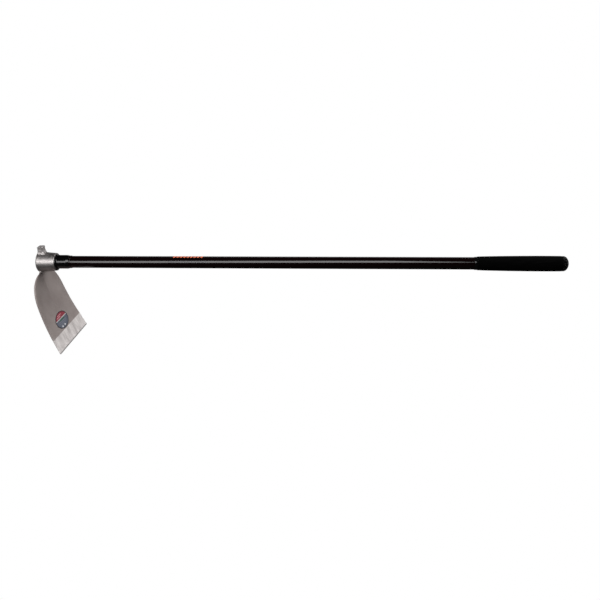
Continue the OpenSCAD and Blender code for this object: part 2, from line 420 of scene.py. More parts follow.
def poll_steel():
    """Brighter ground steel of the hammer poll, with light wear and shallow dark pits."""
    n = Nodes("poll_steel")
    mottle = n.noise((1, 1, 1), 170, 4, 0.6)
    pits = n.noise((1, 1, 1), 520, 3, 0.6)
    lines = n.noise((1, 0.2, 1), 800, 3, 0.6)
    tone = n.mix(n.spread(mottle, 0.35, 0.68), (0.33, 0.305, 0.30), (0.47, 0.44, 0.435))
    tone = n.mix(n.spread(pits, 0.6, 0.78, 0, 0.5), tone, (0.20, 0.19, 0.185))
    roughness = n.spread(mottle, 0.3, 0.7, 0.36, 0.48)
    normal = n.bump(pits, 0.0001, 0.4)
    normal = n.bump(lines, 0.00004, 0.4, normal)
    return n.surface(tone, roughness, normal, Metallic=0.55)


def weld_steel():
    """Weld bead steel, painted paler than the eye as a painted highlight, with a slightly mottled skin."""
    n = Nodes("weld_steel")
    mottle = n.noise((1, 1, 1), 400, 3, 0.6)
    # The pale tone is a painted highlight on the beads.
    tone = n.mix(n.spread(mottle, 0.35, 0.7), (0.52, 0.49, 0.48), (0.74, 0.71, 0.70))
    return n.surface(tone, 0.34, n.bump(mottle, 0.0001, 0.5), Metallic=0.85)


def pin_steel():
    """Satin pin head, a little darker than the eye."""
    n = Nodes("pin_steel")
    mottle = n.noise((1, 1, 1), 700, 3, 0.6)
    tone = n.mix(n.spread(mottle, 0.35, 0.7), (0.22, 0.21, 0.20), (0.34, 0.32, 0.31))
    return n.surface(tone, 0.38, n.bump(mottle, 0.00006, 0.5), Metallic=0.85)


def plug_resin():
    """Dark grey moulded resin."""
    n = Nodes("plug_resin")
    grain = n.noise((1, 1, 1), 900, 3, 0.6)
    tone = n.mix(n.spread(grain, 0.3, 0.7), (0.018, 0.018, 0.019), (0.03, 0.03, 0.031))
    return n.surface(tone, 0.55, n.bump(grain, 0.00006, 0.5))


def core_wood():
    """Pale straight-grained wood."""
    n = Nodes("core_wood")
    grain = n.noise((0.05, 1, 1), 300, 4, 0.6)
    tone = n.mix(n.spread(grain, 0.35, 0.65), (0.52, 0.36, 0.20), (0.68, 0.51, 0.32))
    return n.surface(tone, 0.6, n.bump(grain, 0.0001, 0.4))


def tube_black():
    """Smooth near-black tube with a slight maroon cast and faint lengthwise fibres."""
    n = Nodes("tube_black")
    fibres = n.noise((0.02, 1, 1), 900, 3, 0.6)
    waves = n.noise((0.4, 1, 1), 14, 2, 0.5)
    tone = n.mix(n.spread(fibres, 0.35, 0.7), (0.0026, 0.0007, 0.0008), (0.0046, 0.0012, 0.0014))
    roughness = n.spread(waves, 0.3, 0.7, 0.12, 0.15)
    normal = n.bump(fibres, 0.00001, 0.3)
    return n.surface(tone, roughness, normal, IOR=1.5)


def sleeve_black():
    """Gloss black moulded sleeve."""
    n = Nodes("sleeve_black")
    skin = n.noise((1, 1, 1), 500, 3, 0.6)
    tone = n.mix(n.spread(skin, 0.3, 0.7), (0.0016, 0.0016, 0.0017), (0.003, 0.003, 0.0031))
    roughness = n.spread(skin, 0.3, 0.7, 0.13, 0.17)
    return n.surface(tone, roughness, n.bump(skin, 0.00003, 0.4), IOR=1.5)


def grip_rubber():
    """Matte black rubber with a fine stipple and faint lengthwise marks."""
    n = Nodes("grip_rubber")
    stipple = n.noise((1, 1, 1), 1700, 2, 0.5)
    marks = n.noise((0.06, 1, 1), 500, 3, 0.6)
    tone = n.mix(n.spread(marks, 0.4, 0.7), (0.0006, 0.0006, 0.0006), (0.0016, 0.0016, 0.0016))
    roughness = n.spread(stipple, 0.3, 0.7, 0.72, 0.9)
    normal = n.bump(stipple, 0.00018, 0.6)
    return n.surface(tone, roughness, normal, Specular_IOR_Level=0.015)


def pip_rubber():
    """The same rubber, rubbed a little shiny on the pips."""
    n = Nodes("pip_rubber")
    skin = n.noise((1, 1, 1), 1500, 2, 0.5)
    tone = n.mix(n.spread(skin, 0.4, 0.7), (0.004, 0.004, 0.004), (0.009, 0.009, 0.009))
    roughness = n.spread(skin, 0.3, 0.7, 0.3, 0.4)
    return n.surface(tone, roughness, n.bump(skin, 0.00004, 0.5), Specular_IOR_Level=0.45)


def print_ink(name, light, dark):
    """Printed ink with a little wear."""
    n = Nodes(name)
    wear = n.noise((0.4, 1, 1), 900, 3, 0.6)
    tone = n.mix(n.spread(wear, 0.5, 0.75, 0, 0.4), light, dark)
    return n.surface(tone, 0.42, n.bump(wear, 0.00001, 0.3))


def label_print():
    """Generic print on the label, laid out in its own frame: u runs across the blade and v up it.
    A dark ring, a maroon cap with two short bars, a pale line, a green patch and two dots."""
    n = Nodes("label_print")
    split = n.add("SeparateXYZ")
    n.link(n.add("TexCoord").outputs["Object"], split.inputs[0])
    rise = LABEL_H / 2 * math.cos(face_angle(LABEL_Z))
    u = n.math("DIVIDE", n.math("SUBTRACT", split.outputs["Y"], LABEL_Y), LABEL_W / 2)
    v = n.math("DIVIDE", n.math("SUBTRACT", split.outputs["Z"], LABEL_Z), rise)

    def band(value, low, high, soft=0.012):
        inside = n.spread(value, low - soft, low + soft, 0, 1, True)
        below = n.spread(value, high - soft, high + soft, 1, 0, True)
        return n.math("MULTIPLY", inside, below)

    def patch(u_low, u_high, v_low, v_high):
        return n.math("MULTIPLY", band(u, u_low, u_high), band(v, v_low, v_high))

    def disc(u_mid, v_mid, radius):
        across = n.math("SUBTRACT", u, u_mid)
        up = n.math("SUBTRACT", v, v_mid)
        square = n.math("ADD", n.math("MULTIPLY", across, across), n.math("MULTIPLY", up, up))
        return n.spread(square, (radius * 0.85) ** 2, (radius * 1.1) ** 2, 1, 0, True)

    mottle = n.noise((1, 1, 1), 300, 3, 0.6)
    tone = n.mix(n.spread(mottle, 0.3, 0.7), (0.085, 0.095, 0.125), (0.115, 0.125, 0.155))
    tone = n.mix(n.spread(v, 0.27, 0.31, 0, 1, True), tone, (0.235, 0.035, 0.05))
    tone = n.mix(band(v, 0.2, 0.28), tone, (0.52, 0.50, 0.49))
    tone = n.mix(patch(-0.62, 0.02, 0.44, 0.54), tone, (0.50, 0.24, 0.26))
    tone = n.mix(patch(-0.40, 0.22, 0.64, 0.73), tone, (0.50, 0.24, 0.26))
    tone = n.mix(patch(-0.30, 0.40, -0.02, 0.14), tone, (0.035, 0.10, 0.065))
    tone = n.mix(patch(-0.66, 0.62, -0.14, -0.10), tone, (0.20, 0.215, 0.26))
    tone = n.mix(patch(-0.60, 0.55, -0.30, -0.26), tone, (0.20, 0.215, 0.26))
    tone = n.mix(patch(-0.50, 0.40, -0.46, -0.42), tone, (0.20, 0.215, 0.26))
    tone = n.mix(disc(-0.34, -0.66, 0.10), tone, (0.62, 0.62, 0.64))
    tone = n.mix(disc(0.06, -0.66, 0.10), tone, (0.62, 0.62, 0.64))
    far = n.math("ADD", n.math("MULTIPLY", u, u), n.math("MULTIPLY", v, v))
    tone = n.mix(n.spread(far, 0.80, 0.85, 0, 1, True), tone, (0.028, 0.026, 0.032))
    return n.surface(tone, 0.45, n.bump(mottle, 0.00002, 0.3))


# ---- Blade ----

def face_x(z, lift=0.0):
    """X of the blade's handle-side face at height z, or of a surface lifted off it."""
    return SWEEP_R - math.sqrt((SWEEP_R - lift) ** 2 - (z - SWEEP_Z) ** 2)


def face_angle(z):
    return math.asin((SWEEP_Z - z) / SWEEP_R)


def valley(y, z, end_z, depth, half_w):
    """Depth of a soft V pressed down the middle of the blade, which narrows and fades downwards."""
    if z < end_z:
        return 0.0
    along = min(1.0, (z - end_z) / (-EYE_FRONT_R - end_z))
    across = abs(y) / (half_w * (0.5 + 0.5 * along))
    across = math.sqrt(across * across + 0.01) - 0.1
    return depth * along * math.exp(-across * (1 + 0.3 * across))


def crease(y, z):
    """The pressed crease: a narrow valley with a fairly sharp bottom, in a shallow dish.
    Both are shallower at the neck, so that the back stays behind the eye's front."""
    narrow = valley(y, z, CREASE_END_Z, CREASE_DEPTH, CREASE_HALF_W)
    wide = valley(y, z, DISH_END_Z, DISH_DEPTH, DISH_HALF_W)
    below_neck = smooth_step(CREASE_NECK_Z, CREASE_FULL_Z, z)
    return (narrow + wide) * (CREASE_AT_NECK + (1 - CREASE_AT_NECK) * below_neck)


def forging(y, z, seed):
    """Slight unevenness that forging leaves in a plate."""
    broad = 0.00018 * noise.noise(Vector((y * 22, z * 22, seed)))
    fine = 0.00005 * noise.noise(Vector((y * 70, z * 70, seed)))
    return broad + fine


def ground_share(z):
    """0 above the bevel line, 1 at the cutting edge."""
    return min(1.0, max(0.0, (BEVEL_Z - z) / (BEVEL_Z - EDGE_Z)))


def front_x(y, z):
    """X of the handle-side surface: forged face above the bevel, flat ground bevel below."""
    if z >= BEVEL_Z:
        rough = forging(y, z, 3) * smooth_step(BEVEL_Z, BEVEL_Z + 0.01, z)
        return face_x(z) - crease(y, z) + rough
    top = face_x(BEVEL_Z)
    bottom = face_x(EDGE_Z, -BLADE_T) + EDGE_T
    share = ground_share(z)
    hone_share = ground_share(HONE_Z)
    hone_x = top + (bottom - top) * hone_share + HONE_LIFT
    if share < hone_share:
        return top + (hone_x - top) * share / hone_share
    return hone_x + (bottom - hone_x) * (share - hone_share) / (1 - hone_share)


def back_x(y, z):
    """X of the outer surface, with the ridge behind the crease fading out just under the eye."""
    ridge = crease(y, z) * smooth_step(RIDGE_START_Z, RIDGE_FULL_Z, z)
    rough = forging(y, z, 8) * smooth_step(EDGE_Z, EDGE_Z + 0.02, z)
    return max(0.00005, face_x(z, -BLADE_T) - ridge + rough)


def side_y(z):
    return EDGE_W / 2 - SIDE_FLARE * (z - EDGE_Z)


def shoulder_point(t):
    """(y, z) on the right shoulder, t from 0 at its foot to pi/2 on the centre line."""
    z = SHOULDER_Z + SHOULDER_H * math.sin(t) ** (2 / SHOULDER_POWER)
    return side_y(z) * math.cos(t) ** (2 / SHOULDER_POWER), z


def neck_rise(y):
    """Height of the neck above the shoulders."""
    half = NECK_W * 0.77
    if abs(y) > half:
        return 0.0
    return (NECK_TOP_Z + EYE_FRONT_R) * (1 + math.cos(math.pi * y / half)) / 2


def resampled(points, count):
    """The polyline at count + 1 points, evenly spaced."""
    lengths = [0.0]
    for a, b in zip(points, points[1:]):
        lengths.append(lengths[-1] + math.hypot(b[0] - a[0], b[1] - a[1]))
    out = []
    j = 0
    for i in range(count + 1):
        at = lengths[-1] * i / count
        while j < len(points) - 2 and lengths[j + 1] < at:
            j += 1
        f = (at - lengths[j]) / max(1e-12, lengths[j + 1] - lengths[j])
        f = min(1.0, max(0.0, f))
        out.append((points[j][0] + (points[j + 1][0] - points[j][0]) * f,
                    points[j][1] + (points[j + 1][1] - points[j][1]) * f))
    return out


def blade_rim(loop):
    """For each point of the closed outline: (y, z) moved inwards by the rim's radius there,
    the outward direction, and that radius."""
    out = []
    for i, (y, z) in enumerate(loop):
        y0, z0 = loop[i - 1]
        y1, z1 = loop[(i + 1) % len(loop)]
        length = math.hypot(y1 - y0, z1 - z0)
        out_y = (z1 - z0) / length
        out_z = (y0 - y1) / length
        radius = rim_radius(z)
        out.append((y - out_y * radius, z - out_z * radius, out_y, out_z, radius))
    return out


def coons(left, right, bottom, top):
    """Grid of points inside four boundary lines. left and right run upwards, bottom and top rightwards."""
    columns = len(bottom) - 1
    rows = len(left) - 1
    grid = []
    for j in range(rows + 1):
        v = j / rows
        row = []
        for i in range(columns + 1):
            u = i / columns
            point = []
            for k in (0, 1):
                value = (1 - v) * bottom[i][k] + v * top[i][k] + (1 - u) * left[j][k] + u * right[j][k]
                value -= (1 - u) * (1 - v) * bottom[0][k] + u * (1 - v) * bottom[-1][k]
                value -= (1 - u) * v * top[0][k] + u * v * top[-1][k]
                point.append(value)
            row.append(tuple(point))
        grid.append(row)
    return grid


def rim_radius(z):
    """Radius of the blade's rounded rim: smaller where the bevel thins it."""
    thickness = BLADE_T + (EDGE_T - BLADE_T) * ground_share(z)
    return min(0.0009, 0.42 * thickness)


def blade_outline():
    """The right half of the outline in (y, z), from the middle of the cutting edge round to the top."""
    corner_r = 0.0016
    low = rounded([(0, EDGE_Z, 0), (EDGE_W / 2, EDGE_Z, corner_r), (side_y(BEVEL_Z), BEVEL_Z, 0)], False, 8)
    turn = next(i for i, p in enumerate(low) if p[1] > EDGE_Z + corner_r * 0.3)
    edge = low[:turn + 1]
    side = low[turn:]
    steps = 160
    shoulder = [shoulder_point(math.pi / 2 * i / steps) for i in range(steps + 1)]
    shoulder = [(y, z + neck_rise(y)) for y, z in shoulder]
    middle = steps // 2 + 1
    flank = [(side_y(BEVEL_Z), BEVEL_Z)] + shoulder[:middle + 1]
    crown = shoulder[middle:]
    return edge, side, flank, crown


def mirrored(points):
    """The same line on the other side of the middle, run backwards."""
    return [(-y, z) for y, z in reversed(points)]


COLUMNS = 96
BEVEL_ROWS = 36
FACE_ROWS = 84


def blade_loop():
    """The whole outline, evenly divided, from the left end of the cutting edge and back to it."""
    edge, side, flank, crown = blade_outline()
    edge = resampled(mirrored(edge) + edge[1:], COLUMNS)
    side = resampled(side, BEVEL_ROWS)
    flank = resampled(flank, FACE_ROWS)
    crown = resampled(crown + mirrored(crown)[1:], COLUMNS)
    return edge + side[1:] + flank[1:] + crown[1:] + mirrored(flank)[1:] + mirrored(side)[1:-1]


def blade_grid(rim):
    """Rows of (y, z) points inside the rim, with one row on the bevel line."""
    line = [point[:2] for point in rim + rim[:1]]
    parts = []
    for count in (COLUMNS, BEVEL_ROWS, FACE_ROWS, COLUMNS, FACE_ROWS, BEVEL_ROWS):
        parts.append(line[:count + 1])
        line = line[count:]
    edge, side, flank = parts[:3]
    crown, flank_left, side_left = [part[::-1] for part in parts[3:]]
    left_y = side_left[-1][0]
    width = side[-1][0] - left_y
    bevel_line = [(left_y + width * i / COLUMNS, BEVEL_Z) for i in range(COLUMNS + 1)]
    low = coons(side_left, side, edge, bevel_line)
    high = coons(flank_left, flank, bevel_line, crown)
    return low + high[1:]


def border(sheet):
    """The outermost vertices of a grid, in the same order as the outline."""
    line = sheet[0] + [row[-1] for row in sheet[1:]]
    return line + sheet[-1][-2::-1] + [row[0] for row in sheet[-2:0:-1]]


def finish_at(z):
    """Which of the blade's finishes is at height z on the handle side: lacquer, ground or honed."""
    if z > BEVEL_Z + 1e-6:
        return 0
    return 1 if z > HONE_Z else 2


def rim_rings(verts, rim):
    """Adds the rings of the rounded rim, from the handle-side face round to the back."""
    steps = 5
    rings = []
    turns = [(front_x, -1, k) for k in range(1, steps + 1)]
    turns += [(back_x, 1, k) for k in range(steps - 1, 0, -1)]
    for surface, inward, k in turns:
        angle = math.pi / 2 * k / steps
        sink = inward * (1 - math.cos(angle))
        reach = math.sin(angle)
        rings.append(add_ring(verts, [
            (surface(y, z) + sink * r, y + out_y * r * reach, z + out_z * r * reach)
            for y, z, out_y, out_z, r in rim
        ]))
    return rings


def blade(steel, ground, honed):
    """Both faces as grids and a rounded rim between them, with the ground bevel on the handle side."""
    rim = blade_rim(blade_loop())
    grid = blade_grid(rim)
    verts = []
    faces = []
    indices = []
    borders = []
    for surface in (front_x, back_x):
        sheet = [add_ring(verts, [(surface(y, z), y, z) for y, z in row]) for row in grid]
        borders.append(border(sheet))
        for j in range(len(grid) - 1):
            for i in range(COLUMNS):
                faces.append([sheet[j][i], sheet[j][i + 1], sheet[j + 1][i + 1], sheet[j + 1][i]])
                middle = (grid[j][i][1] + grid[j + 1][i + 1][1]) / 2
                indices.append(finish_at(middle) if surface is front_x else 0)
    rings = [borders[0]] + rim_rings(verts, rim) + [borders[1]]
    for ring, after in zip(rings, rings[1:]):
        faces += ring_faces(ring, after)
        indices += [finish_at(point[1]) for point in rim]
    piece = make_object("blade_plate", verts, faces, 30, indices)
    keep_finish_lines(piece)
    finish_piece(piece, "blade_steel", (steel, ground, honed), "blade")


def keep_finish_lines(piece):
    """Keeps the lines between the blade's finishes crisp."""
    mesh = piece.data
    finishes = {}
    for polygon in mesh.polygons:
        for key in polygon.edge_keys:
            finishes.setdefault(key, set()).add(polygon.material_index)
    sharp = mesh.attributes.get("sharp_edge") or mesh.attributes.new("sharp_edge", "BOOLEAN", "EDGE")
    for i, edge in enumerate(mesh.edges):
        if len(finishes.get(edge.key, ())) > 1:
            sharp.data[i].value = True


def end_round(s):
    """Share of the bead's radius at s from -1 to 1: full along it, with rounded ends."""
    return max(0.2, 1 - abs(s) ** 7) ** 0.5


def blade_bead(material):
    """Rippled weld bead under the eye, where the blade's face meets it."""
    reach = math.asin(NECK_W / 2 / EYE_FRONT_R) * 1.02
    x = face_x(-EYE_FRONT_R) + 0.001
    centre_r = EYE_FRONT_R - 0.0006
    line = []
    for i in range(-60, 61):
        s = i / 60
        y = centre_r * math.sin(reach * s)
        z = -centre_r * math.cos(reach * s)
        line.append((x, y, z, BEAD_R * end_round(s)))
    bead("blade_bead", material, "blade_weld", line, 17)


def bead(name, material, node, line, ripples, closed=False):
    """A bead of weld along a line of (x, y, z, radius), with ripples across it."""
    sides = 20
    verts = []
    rings = []
    count = len(line)
    points = [Vector(p[:3]) for p in line]
    for i, point in enumerate(points):
        before = points[i - 1] if closed or i else point
        after = points[(i + 1) % count] if closed or i < count - 1 else point
        along = (after - before).normalized()
        out = Vector((0, point.y, point.z)).normalized()
        out = (out - along * out.dot(along)).normalized()
        across = along.cross(out)
        wave = i / (count if closed else count - 1) * ripples
        radius = line[i][3] * (0.93 + 0.07 * abs(math.cos(math.pi * wave)) ** 0.6)
        ring = []
        for k in range(sides):
            angle = 2 * math.pi * k / sides
            lean = along * (0.25 * radius * math.cos(angle))
            ring.append(point + (out * math.cos(angle) + across * math.sin(angle)) * radius + lean)
        rings.append(add_ring(verts, ring))
    faces = []
    for ring, after in zip(rings, rings[1:] + (rings[:1] if closed else [])):
        faces += ring_faces(ring, after)
    if not closed:
        faces += [rings[0], rings[-1][::-1]]
    piece = make_object(name, verts, faces, 60)
    finish_piece(piece, "weld_steel", (material,), node)


def label(material):
    """Thin oval sheet with rounded edges that follows the blade's face."""
    rings, segments = 20, 120
    rise = LABEL_H / 2 * math.cos(face_angle(LABEL_Z))
    shares = [i / rings for i in range(rings + 1)]

    def point(share, angle, lift):
        y = LABEL_Y + LABEL_W / 2 * share * math.cos(angle)
        z = LABEL_Z + rise * share * math.sin(angle)
        tilt = face_angle(z)
        base = Vector((face_x(z) + forging(y, z, 3), y, z))
        return base + Vector((math.cos(tilt), 0, math.sin(tilt))) * lift

    layers = [(s * 0.995, BOND_GAP + LABEL_T) for s in shares]
    layers += [(1.0, BOND_GAP + LABEL_T * 0.7), (1.0, BOND_GAP)]
    layers += [(s * 0.995, BOND_GAP) for s in reversed(shares[:-1])]
    verts = []
    oval = []
    for share, lift in layers:
        if share == 0:
            oval.append(add_ring(verts, [point(0, 0, lift)]) * segments)
            continue
        angles = [2 * math.pi * k / segments for k in range(segments)]
        oval.append(add_ring(verts, [point(share, angle, lift) for angle in angles]))
    faces = []
    for ring, after in zip(oval, oval[1:]):
        faces += ring_faces(ring, after)
    piece = make_object("label_disc", verts, faces, 50)
    finish_piece(piece, "label_print", (material,), "blade_label")


# ---- Eye, pin and poll ----

def eye_radius(x):
    return EYE_FRONT_R + (EYE_REAR_R - EYE_FRONT_R) * (x / EYE_LENGTH)


def eye_forging(x, angle, radius):
    """Slight unevenness of the forged outside of the eye."""
    if radius < EYE_FRONT_R * 0.8:
        return 0.0
    place = Vector((x * 60, math.cos(angle) * 1.6, math.sin(angle) * 1.6))
    return 0.00013 * noise.noise(place) - 0.00006


def eye(material):
    """Tapered forged eye with a rounded nose and slightly eased edges."""
    profile = divided(rounded([
        (0, BORE_FRONT_R, 0.0005),
        (0, EYE_FRONT_R, EYE_NOSE_R),
        (EYE_LENGTH, EYE_REAR_R, 0.0009),
        (EYE_LENGTH, BORE_REAR_R, 0.0004),
    ], steps=10), 0.0014)
    verts, faces = lathe(profile, 160, eye_forging)
    piece = make_object("eye_socket", verts, faces, 40)
    finish_piece(piece, "eye_steel", (material,), "eye_collar")


def cross_pin(material):
    """Pin through the eye with a low domed head at each end."""
    reach = eye_radius(PIN_X)
    sunk = reach - 0.0009
    half = []
    for k in range(8):
        angle = math.pi / 2 * k / 8
        half.append((reach + PIN_HEAD_T * math.cos(angle) ** 0.8, PIN_HEAD_R * math.sin(angle)))
    half += [(reach, PIN_HEAD_R), (sunk, PIN_HEAD_R), (sunk, PIN_R)]
    profile = half + [(-x, r) for x, r in reversed(half)]
    verts, faces = lathe(profile, 64)
    axis = Vector((0, -math.cos(PIN_ANGLE), math.sin(PIN_ANGLE)))
    turn = Vector((1, 0, 0)).rotation_difference(axis)
    verts = [Vector((PIN_X, 0, 0)) + turn @ Vector(v) for v in verts]
    piece = make_object("cross_pin", verts, faces, 40)
    finish_piece(piece, "pin_steel", (material,), "head_pin")


def flare(z, waist_z):
    """Spread of the poll's foot below its waist."""
    drop = waist_z - z
    if drop <= 0:
        return 0.0
    drop = min(drop, POLL_FLARE_R * math.sin(POLL_FLARE_ANGLE))
    return min(POLL_FLARE, POLL_FLARE_R - math.sqrt(POLL_FLARE_R ** 2 - drop ** 2))


def poll_section(z, shrink, corner=POLL_CORNER_R):
    """Rounded rectangle (x, y) round the poll at height z, as a closed loop."""
    centre = POLL_X + POLL_LENGTH / 2
    half_x = POLL_LENGTH / 2 + flare(z, POLL_WAIST_Z) - shrink
    half_y = POLL_W / 2 + flare(z, POLL_WAIST_Z - 0.002) - shrink
    r = max(0.0002, corner - shrink * 0.5)
    points = []
    for quarter, (sx, sy) in enumerate(((1, 1), (-1, 1), (-1, -1), (1, -1))):
        for k in range(11):
            angle = math.pi / 2 * (quarter + k / 10)
            x = centre + sx * (half_x - r) + r * math.cos(angle)
            points.append((x, sy * (half_y - r) + r * math.sin(angle)))
    return points + points[:1]


def poll(steel, painted_highlight_steel):
    """Square waisted block with eased edges. Its foot ends just inside the eye's surface."""
    side_h = POLL_Z - POLL_TOP_R - POLL_FOOT_Z
    levels = [(POLL_FOOT_Z + side_h * i / 20, 0.0) for i in range(21)]
    for k in range(1, 8):
        angle = math.pi / 2 * k / 7
        levels.append((POLL_Z - POLL_TOP_R * (1 - math.sin(angle)), POLL_TOP_R * (1 - math.cos(angle))))
    verts = []
    rings = []
    for z, shrink in levels:
        pull = POLL_PULL * math.exp(-((z - POLL_PULL_Z) / POLL_PULL_H) ** 2)
        ring = []
        for x, y in resampled(poll_section(z, shrink + pull), 120)[:-1]:
            wear = 0.00007 * noise.noise(Vector((x * 150, y * 150, z * 150)))
            ring.append((x + wear, y - wear, z))
        rings.append(add_ring(verts, ring))
    centre = POLL_X + POLL_LENGTH / 2
    outer = [verts[v] for v in rings[-1]]
    for share in (0.8, 0.55, 0.3):
        ring = [(centre + (x - centre) * share, y * share, POLL_Z) for x, y, z in outer]
        rings.append(add_ring(verts, ring))
    faces = []
    for ring, after in zip(rings, rings[1:]):
        faces += ring_faces(ring, after)
    faces += [rings[0], rings[-1][::-1]]
    # The upright corners and top edges get the brighter weld steel as a painted highlight.
    piece = make_object("poll_block", verts, faces, 40, [poll_painted_highlight(verts, face) for face in faces])
    finish_piece(piece, "eye_steel", (steel, painted_highlight_steel), "poll")


def poll_painted_highlight(verts, face):
    """1 on the poll's upright corners and top edges, which get the brighter weld steel as a painted
    highlight, 0 elsewhere.
    """
    middle = sum((Vector(verts[v]) for v in face), Vector()) / len(face)
    spread = flare(middle.z, POLL_WAIST_Z)
    in_x = POLL_LENGTH / 2 + spread - abs(middle.x - POLL_X - POLL_LENGTH / 2)
    in_y = POLL_W / 2 + spread - abs(middle.y)
    by_top = POLL_Z - middle.z < POLL_TOP_R
    at_corner = max(in_x, in_y) < POLL_CORNER_R
    at_side = min(in_x, in_y) < POLL_CORNER_R
    return int(at_corner or (by_top and at_side))


def poll_bead(material):
    """Weld bead on the eye, all round the poll's foot."""
    line = []
    for x, y in resampled(poll_section(EYE_FRONT_R * 0.98, -0.0003, 0.0026), 150)[:-1]:
        r = eye_radius(x)
        if x < EYE_NOSE_R:
            r = EYE_FRONT_R - EYE_NOSE_R + math.sqrt(max(0.0, EYE_NOSE_R ** 2 - (EYE_NOSE_R - x) ** 2))
        line.append((x, y, math.sqrt(r * r - y * y), 0.00125))
    bead("poll_bead", material, "poll_weld", line, 30, closed=True)


# ---- Handle ----

def tube(material):
    """Long tube with eased ends."""
    profile = divided(rounded([
        (TUBE_START, TUBE_R, 0.0006),
        (TUBE_END, TUBE_R, 0.0006),
        (TUBE_END, TUBE_R - TUBE_WALL, 0.0004),
        (TUBE_START, TUBE_R - TUBE_WALL, 0.0004),
    ]), 0.05)
    verts, faces = lathe(profile, 128)
    piece = make_object("tube_shaft", verts, faces, 40)
    finish_piece(piece, "tube_black", (material,), "handle_tube")


def sleeve(material):
    """Boot behind the eye: a rolled lip, a straight barrel and a tapered tail."""
    start = EYE_LENGTH + BOND_GAP
    bore = TUBE_R + BOND_GAP
    profile = divided(rounded([
        (start, bore, 0.0002),
        (start, SLEEVE_LIP_R, 0.0008),
        (start + 0.0024, SLEEVE_LIP_R, 0.0009),
        (start + 0.0056, SLEEVE_R, 0.0025),
        (SLEEVE_X, SLEEVE_R, 0.002),
        (SLEEVE_X + SLEEVE_TAIL, RING_R - 0.0003, 0.0005),
        (SLEEVE_X + SLEEVE_TAIL, bore, 0.0002),
    ], steps=8), 0.004)
    verts, faces = lathe(profile, 128)
    piece = make_object("eye_boot", verts, faces, 40)
    finish_piece(piece, "sleeve_black", (material,), "sleeve")


def tube_ring(name, node, slot, material, x, width, radius):
    """Ring on the tube with a crowned outside."""
    bore = TUBE_R + BOND_GAP
    profile = rounded([
        (x, bore, 0.0001),
        (x, radius - 0.0001, 0.0007),
        (x + width / 2, radius, width / 4),
        (x + width, radius - 0.0001, 0.0007),
        (x + width, bore, 0.0001),
    ], steps=8)
    verts, faces = lathe(profile, 128)
    piece = make_object(name, verts, faces, 40)
    finish_piece(piece, slot, (material,), node)


def grip_radius(s):
    """Radius of the grip at a distance s behind its front."""
    belly = GRIP_LENGTH - GRIP_BELLY_BACK
    if s < belly:
        share = math.sin(math.pi / 2 * max(0.0, s) / belly) ** 0.8
        return GRIP_FRONT_R + (GRIP_BELLY_R - GRIP_FRONT_R) * share
    return GRIP_BELLY_R - 0.0005 * ((s - belly) / GRIP_BELLY_BACK) ** 2


def grip_relief(x, angle, radius):
    """Fine flutes along the grip, a groove where they stop, and a sunk end that leaves room for pips."""
    if radius <= TUBE_R + 0.001 and x < GRIP_INSIDE_X - 0.001:
        return 0.0
    flutes = 0.00007 * math.cos(72 * angle) * smooth_step(GRIP_X + 0.015, GRIP_X + 0.022, x)
    flutes *= smooth_step(CAP_X - 0.001, CAP_X - 0.006, x)
    groove = -0.0003 * math.exp(-((x - CAP_X) / 0.0006) ** 2)
    sunk = -PIP_H * smooth_step(CAP_X - 0.0005, CAP_X + 0.0015, x)
    return flutes + groove + sunk


def grip_profile():
    """The grip's (x, radius) profile: front, swelled side, full round end, and the bore inside."""
    gap = 2 * BOND_GAP
    start = GRIP_X + GRIP_RING_W + gap
    round_s = GRIP_LENGTH - GRIP_ROUND
    end_r = grip_radius(round_s)
    bore = TUBE_R + BOND_GAP
    edge = 0.0006
    profile = [(start, bore), (start, grip_radius(0) - edge)]
    for k in range(1, 6):
        angle = math.pi / 2 * k / 5
        profile.append((start + edge * (1 - math.cos(angle)), grip_radius(0) - edge * (1 - math.sin(angle))))
    steps = 150
    for i in range(1, steps + 1):
        s = edge + (round_s - edge) * i / steps
        profile.append((start + s - gap * i / steps, grip_radius(s)))
    for k in range(1, 30):
        angle = math.pi / 2 * k / 30
        profile.append((LENGTH - GRIP_ROUND * (1 - math.sin(angle)), end_r * math.cos(angle)))
    return profile + [(LENGTH, 0.0), (GRIP_INSIDE_X, 0.0), (GRIP_INSIDE_X, bore)]


def pip_places():
    """Staggered rows of pips (centre, outward direction) over the grip's end."""
    end_r = grip_radius(GRIP_LENGTH - GRIP_ROUND)
    places = []
    for row in range(8):
        lean = math.radians(-10 + 12.5 * row)
        radius = end_r * math.cos(max(0.0, lean))
        x = LENGTH - GRIP_ROUND * (1 - math.sin(lean))
        count = max(6, round(26 * math.cos(lean)))
        out_x = max(0.0, math.sin(lean)) * end_r / GRIP_ROUND
        for k in range(count):
            angle = 2 * math.pi * (k + 0.5 * (row % 2)) / count
            away = Vector((0, math.cos(angle), math.sin(angle)))
            out = Vector((out_x, 0, 0)) + away * math.cos(lean)
            places.append((Vector((x, 0, 0)) + away * radius, out.normalized()))
    return places


def pip(centre, out, verts, faces):
    """Adds one low domed pip, its foot sunk into the rubber."""
    sides = 10
    across = out.cross(Vector((0.3, 0.5, 0.8))).normalized()
    up = out.cross(across)
    rings = []
    for wide, lift in ((1, -0.0004), (1, 0), (0.8, PIP_H * 0.65), (0.42, PIP_H * 0.94)):
        ring = []
        for k in range(sides):
            angle = 2 * math.pi * k / sides
            side = (across * math.cos(angle) + up * math.sin(angle)) * PIP_R * wide
            ring.append(centre + out * lift + side)
        rings.append(add_ring(verts, ring))
    rings.append(add_ring(verts, [centre + out * PIP_H]) * sides)
    for ring, after in zip(rings, rings[1:]):
        faces += ring_faces(ring, after)
    faces.append(rings[0][::-1])


